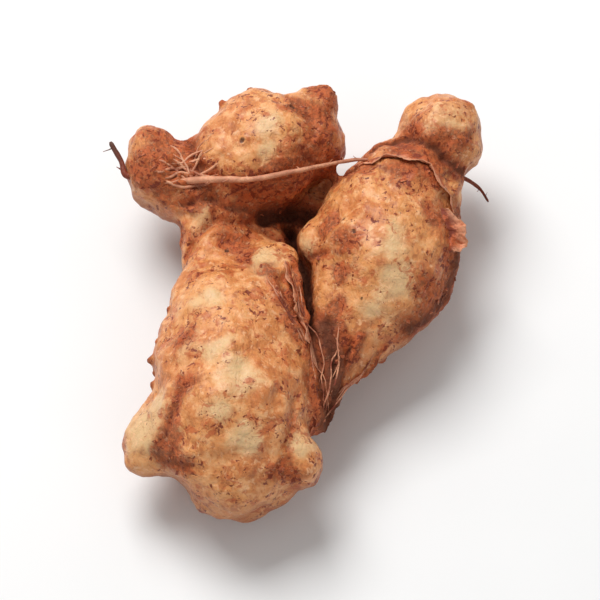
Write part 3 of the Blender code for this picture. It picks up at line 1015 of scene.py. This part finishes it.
class GINGER_OT_scale_leaves(bpy.types.Operator):
    """Lays the three dry, torn scale leaves on the skin"""

    bl_idname = "ginger.scale_leaves"
    bl_label = "Scale leaves"

    def execute(self, context):
        tree = skin_search(bpy.data.objects["rhizome_skin"])
        finish = scale_finish(context.scene.ginger_skin)
        for node, leaf in SCALE_LEAVES.items():
            piece = self.torn_sheet(node, leaf, tree)
            piece.data.materials.append(finish)
            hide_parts(node)
            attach(piece, "root")
        return {"FINISHED"}

    def torn_sheet(self, node, leaf, tree):
        """A thin curling sheet along the root line, sunk in the skin there and ragged at its edge."""
        root = smooth_line([Vector(place) * MM for place in leaf["root_line"]], 12)
        last = len(root) - 1
        deselect_all()
        bpy.ops.mesh.primitive_grid_add(x_subdivisions=last, y_subdivisions=LEAF_ROWS - 1, size=1)
        sheet = bpy.context.object
        sheet.name = node + "_sheet"
        across_way = Vector(leaf["lies"]).normalized()
        shade = []
        for vertex in sheet.data.vertices:
            column = round((vertex.co.x + 0.5) * last)
            share = vertex.co.y + 0.5
            start = root[column]
            ends = math.sin(math.pi * min(max(column / last, 0.04), 0.96)) ** 0.45
            torn = noise.noise(Vector((column * 0.1, 2.0, 5.0)))
            torn += 0.3 * noise.noise(Vector((column * 0.6, 9.0, 1.0)))
            reach = leaf["width"] * MM * ends * (0.75 + 0.5 * torn)
            flat = start + across_way * (share * reach - LEAF_SUNK)
            ripple = noise.noise(flat / (1.3 * MM)) * 0.3 * MM * share
            rooted = (-0.25 + 0.35 * ramp(share, 0.0, 0.3)) * MM
            stand = rooted + leaf["lift"] * MM * share**2 * ends + ripple
            near, normal, _, _ = tree.find_nearest(flat)
            vertex.co = near + normal * stand
            shade.append(share)
        write_masks(sheet.data, {"shade": shade})
        weld(sheet, ROUGH_WELD)
        wall = sheet.modifiers.new("wall", "SOLIDIFY")
        wall.thickness = LEAF_WALL
        wall.offset = 0
        rounder = sheet.modifiers.new("rounder", "SUBSURF")
        rounder.levels = rounder.render_levels = 1
        apply_modifiers(sheet)
        sheet.data.shade_smooth()
        return sheet


class GINGER_OT_fibres(bpy.types.Operator):
    """Lays bundles of root fibre on the skin"""

    bl_idname = "ginger.fibres"
    bl_label = "Fibres"

    def execute(self, context):
        tree = skin_search(bpy.data.objects["rhizome_skin"])
        finish = fibre_finish(context.scene.ginger_skin)
        for name, bundle in FIBRE_BUNDLES.items():
            threads = []
            for route in bundle["routes"]:
                for _ in range(bundle["threads"]):
                    threads.append(self.thread(route, bundle, tree))
            piece = threads_to_mesh(name, threads, 1)
            shades = [
                ramp(noise.noise(vertex.co / (2.2 * MM)), -0.5, 0.7) * bundle["tone"]
                for vertex in piece.data.vertices
            ]
            write_masks(piece.data, {"shade": shades})
            piece.data.materials.append(finish)
            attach(piece, "root")
        return {"FINISHED"}

    def thread(self, route, bundle, tree):
        """One fibre that strays from the route, hugs the skin and lifts off it here and there."""
        drift = random_offset(EVEN, EVEN) * bundle["stray"] * MM
        stations = []
        for across, along in route:
            point, _ = seen_from_above(tree, across, along)
            wobble = random_offset(EVEN, EVEN) * 0.8 * bundle["stray"] * MM
            stations.append(point + drift + wobble)
        line = smooth_line(stations, FIBRE_POINTS // (len(route) - 1) + 1)
        cut = random.randrange(0, 4)
        line = line[cut:len(line) - random.randrange(0, 4)]
        thickness = bundle["radius"] * MM * random.uniform(0.55, 1.3)
        lift = random.uniform(0.0, 0.4) * MM
        thread = []
        last = len(line) - 1
        for number, point in enumerate(line):
            share = number / last
            taper = min(1, 4 * share + 0.35, 4 * (1 - share) + 0.35)
            waver = noise.noise_vector(point / (1.8 * MM) + drift * 700) * 0.5 * MM
            near, normal, _, _ = tree.find_nearest(point + waver)
            loop = ramp(noise.noise(point / (2.5 * MM) + drift * 900), 0.1, 0.6) * lift
            sunk = 0.2 * thickness * (1 - 4 * (share in (0, 1)))
            stand = sunk + loop * math.sin(math.pi * share)
            thread.append((near + normal * stand, thickness * taper))
        return self.calmed(thread)

    def calmed(self, thread):
        """The thread without kinks: each inner point moves half way to its neighbours' middle."""
        inner = [
            ((before[0] + after[0] + 2 * point[0]) / 4, point[1])
            for before, point, after in zip(thread, thread[1:], thread[2:])
        ]
        return [thread[0], *inner, thread[-1]]


class GINGER_OT_flakes(bpy.types.Operator):
    """Scatters small curled flakes of skin over the rusty places"""

    bl_idname = "ginger.flakes"
    bl_label = "Skin flakes"

    def execute(self, context):
        skin = bpy.data.objects["rhizome_skin"]
        patterns = [self.pattern(number) for number in range(FLAKE_PATTERNS)]
        places = self.rusty_places(skin)
        copies = [self.lay(random.choice(patterns), vertex) for vertex in places]
        for pattern in patterns:
            bpy.data.objects.remove(pattern)
        deselect_all()
        for copy in copies:
            copy.select_set(True)
        bpy.context.view_layer.objects.active = copies[0]
        bpy.ops.object.join()
        piece = bpy.context.object
        piece.name = "skin_flakes"
        piece.data.shade_smooth()
        piece.data.materials.append(scale_finish(context.scene.ginger_skin))
        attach(piece, "root")
        return {"FINISHED"}

    def pattern(self, number):
        """One curled flake, about as long as 1 mm, lying at the origin."""
        deselect_all()
        bpy.ops.mesh.primitive_grid_add(x_subdivisions=4, y_subdivisions=3, size=1)
        flake = bpy.context.object
        shade = []
        for vertex in flake.data.vertices:
            x, y = vertex.co.x, vertex.co.y
            ragged = noise.noise(Vector((x * 3, y * 3, number * 5.0)))
            curl = (y + 0.5) ** 2 * 0.22 + x * x * 0.1
            across, along = x * (1 + 0.5 * ragged), y * (0.5 + 0.4 * ragged)
            vertex.co = Vector((across, along, curl + 0.1 * ragged)) * MM
            shade.append(0.6 * (y + 0.5))
        write_masks(flake.data, {"shade": shade})
        wall = flake.modifiers.new("wall", "SOLIDIFY")
        wall.thickness = FLAKE_WALL
        apply_modifiers(flake)
        return flake

    def rusty_places(self, skin):
        """Vertices of the skin to put flakes on, most of them where it is rusty."""
        rust_and_painted_shade = skin.data.attributes["rust_and_painted_shade"].data
        places = []
        while len(places) < FLAKES:
            number = random.randrange(len(skin.data.vertices))
            vertex = skin.data.vertices[number]
            if vertex.normal.z > -0.3 and rust_and_painted_shade[number].value ** 3 > random.random():
                places.append(vertex)
        return places

    def lay(self, pattern, vertex):
        """A copy of the flake on this vertex of the skin, turned at random about its normal."""
        flake = pattern.copy()
        flake.data = pattern.data.copy()
        bpy.context.scene.collection.objects.link(flake)
        turn = Matrix.Rotation(random.uniform(0, math.tau), 4, "Z")
        stand = vertex.normal.to_track_quat("Z", "Y").to_matrix().to_4x4()
        size = Matrix.Diagonal(random_offset((0.4, 1.1), (0.5, 1.1), (0.4, 1.0))).to_4x4()
        place = Matrix.Translation(vertex.co - vertex.normal * 0.03 * MM)
        flake.data.transform(place @ stand @ turn @ size)
        return flake


class GINGER_OT_stage(bpy.types.Operator):
    """Sets up the card, the lights and the camera"""

    bl_idname = "ginger.stage"
    bl_label = "Stage"

    def execute(self, context):
        stage = context.scene.ginger_stage
        deselect_all()
        bpy.ops.mesh.primitive_plane_add(size=4.0, location=(0, 0, 0))
        card = context.object
        card.name = "studio_card"
        card.data.materials.append(floor_finish(stage))
        low, high = (Vector(corner) for corner in CAD_BOX)
        middle = (low + high) / 2
        self.add_camera(stage, middle, high - low)
        self.add_light("key", middle, (-0.16, 0.3, 0.5), 0.34, stage.key_power)
        self.add_light("fill", middle, (0.3, -0.45, 0.35), 0.4, stage.fill_power)
        world = bpy.data.worlds.new("studio_light")
        world.use_nodes = True
        background = world.node_tree.nodes["Background"]
        background.inputs["Color"].default_value = (1, 1, 1, 1)
        background.inputs["Strength"].default_value = stage.sky
        context.scene.world = world
        context.scene.view_settings.view_transform = "Standard"
        return {"FINISHED"}

    def add_camera(self, stage, middle, size):
        """A long lens that looks at the root's middle from the front, high up."""
        tall = size.y * math.sin(stage.elevation) + size.z * math.cos(stage.elevation)
        data = bpy.data.cameras.new("camera")
        data.lens = stage.lens
        away = max(tall, size.x) / stage.fill * data.lens / data.sensor_width
        back = Vector((0, -math.cos(stage.elevation), math.sin(stage.elevation)))
        camera = bpy.data.objects.new("camera", data)
        camera.location = middle + back * away
        camera.rotation_euler = (math.pi / 2 - stage.elevation, 0, 0)
        data.clip_start = 0.01
        bpy.context.scene.collection.objects.link(camera)
        bpy.context.scene.camera = camera

    def add_light(self, name, middle, offset, size, power):
        """A square soft light that faces the root."""
        data = bpy.data.lights.new(name, "AREA")
        data.size = size
        data.energy = power
        light = bpy.data.objects.new(name, data)
        light.location = middle + Vector(offset)
        light.rotation_euler = (-Vector(offset)).to_track_quat("-Z", "Y").to_euler()
        bpy.context.scene.collection.objects.link(light)


class GINGER_PT_panel(bpy.types.Panel):
    """Lists the steps that build the root and its studio"""

    bl_idname = "GINGER_PT_panel"
    bl_label = "Aromatic ginger root"
    bl_space_type = "VIEW_3D"
    bl_region_type = "UI"
    bl_category = "Ginger"

    def draw(self, context):
        for step in STEPS:
            self.layout.operator(step.bl_idname)


STEPS = (
    GINGER_OT_rhizome,
    GINGER_OT_rootlets,
    GINGER_OT_scale_leaves,
    GINGER_OT_fibres,
    GINGER_OT_flakes,
    GINGER_OT_stage,
)
GROUPS = (GINGER_PG_skin, GINGER_PG_stage)


def register():
    for cls in (*GROUPS, *STEPS, GINGER_PT_panel):
        bpy.utils.register_class(cls)
    bpy.types.Scene.ginger_skin = PointerProperty(type=GINGER_PG_skin)
    bpy.types.Scene.ginger_stage = PointerProperty(type=GINGER_PG_stage)


def unregister():
    del bpy.types.Scene.ginger_stage
    del bpy.types.Scene.ginger_skin
    for cls in (GINGER_PT_panel, *reversed(STEPS), *reversed(GROUPS)):
        bpy.utils.unregister_class(cls)


def main():
    """Builds the root and its studio."""
    random.seed(SEED)
    noise.seed_set(SEED)
    register()
    bpy.ops.ginger.rhizome()
    bpy.ops.ginger.rootlets()
    bpy.ops.ginger.scale_leaves()
    bpy.ops.ginger.fibres()
    bpy.ops.ginger.flakes()
    bpy.ops.ginger.stage()
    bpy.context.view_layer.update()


if __name__ == "__main__":
    main()
